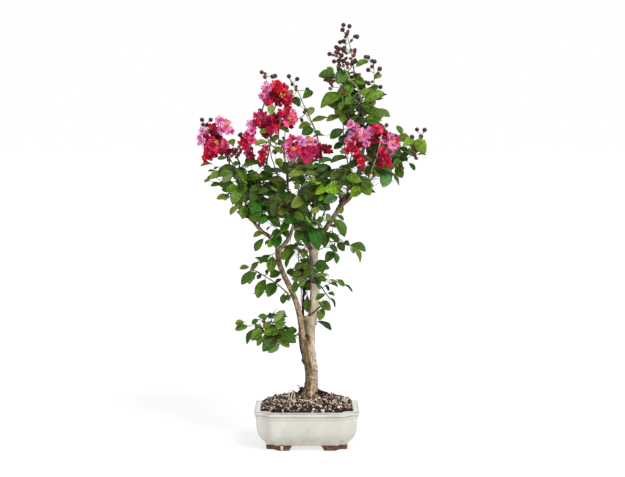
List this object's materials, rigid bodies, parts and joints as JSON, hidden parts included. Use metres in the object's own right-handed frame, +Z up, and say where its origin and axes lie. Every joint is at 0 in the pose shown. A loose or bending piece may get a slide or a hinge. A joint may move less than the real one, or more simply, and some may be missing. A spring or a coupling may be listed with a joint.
{
  "type": "bonsai crape myrtle in a glazed pot",
  "caption": "Small flowering crape myrtle bonsai with forked trunk, open leafy crown, crimson and pink blossom and round buds, standing in a notched-corner glazed pot on clay feet.",
  "frame": {"origin": "under the middle of the whole plant's bounding box, at the height of the undersides of the pot's feet", "axes": "+Z up; +X to the viewer's right along the pot's long side; -Y towards the viewer"},
  "size_m": [0.4462, 0.3062, 0.811],
  "materials": {
    "glaze": "gloss",
    "foot_clay": "matte",
    "bark_mix": "matte",
    "bark": "matte",
    "dark_stem": "matte",
    "twig": "matte",
    "leaf": "satin",
    "blossom": "matte",
    "stamen": "matte",
    "bud": "satin"
  },
  "bodies": {
    "root": {"back_limb": "bark", "blossom_back_left": "blossom", "blossom_back_right": "blossom", "blossom_centre": "blossom", "blossom_far_left": "blossom", "blossom_left_lower": "blossom", "blossom_left_top": "blossom", "blossom_left_upper": "blossom", "blossom_right": "blossom", "buds_spire": "bud", "buds_spire_right": "bud", "dark_inner_stem": "dark_stem", "foliage_back": "leaf", "foliage_centre": "leaf", "foliage_front": "leaf", "foliage_inner_back": "leaf", "foliage_inner_front": "leaf", "foliage_left": "leaf", "foliage_left_back": "leaf", "foliage_left_low": "leaf", "foliage_low_back": "leaf", "foliage_low_left": "leaf", "foliage_low_right": "leaf", "foliage_low_right_tip": "leaf", "foliage_mid_left": "leaf", "foliage_mid_right": "leaf", "foliage_right": "leaf", "foliage_right_back": "leaf", "foliage_right_end": "leaf", "foliage_right_front": "leaf", "foliage_spire": "leaf", "foot_back_left": "foot_clay", "foot_back_right": "foot_clay", "foot_front_left": "foot_clay", "foot_front_right": "foot_clay", "front_limb": "bark", "inner_left_limb": "bark", "left_bough": "bark", "left_bough_inner_branch": "bark", "left_bough_outer_branch": "bark", "pot": "glaze", "right_stem": "bark", "right_upper_limb": "bark", "shoot_centre": "twig", "shoot_left": "twig", "shoot_left_top": "twig", "shoot_low_left": "twig", "shoot_low_right": "twig", "shoot_mid_left": "twig", "shoot_middle": "leaf", "shoot_middle_foot": "twig", "soil": "bark_mix", "trunk": "bark"}
  },
  "joints": []
}
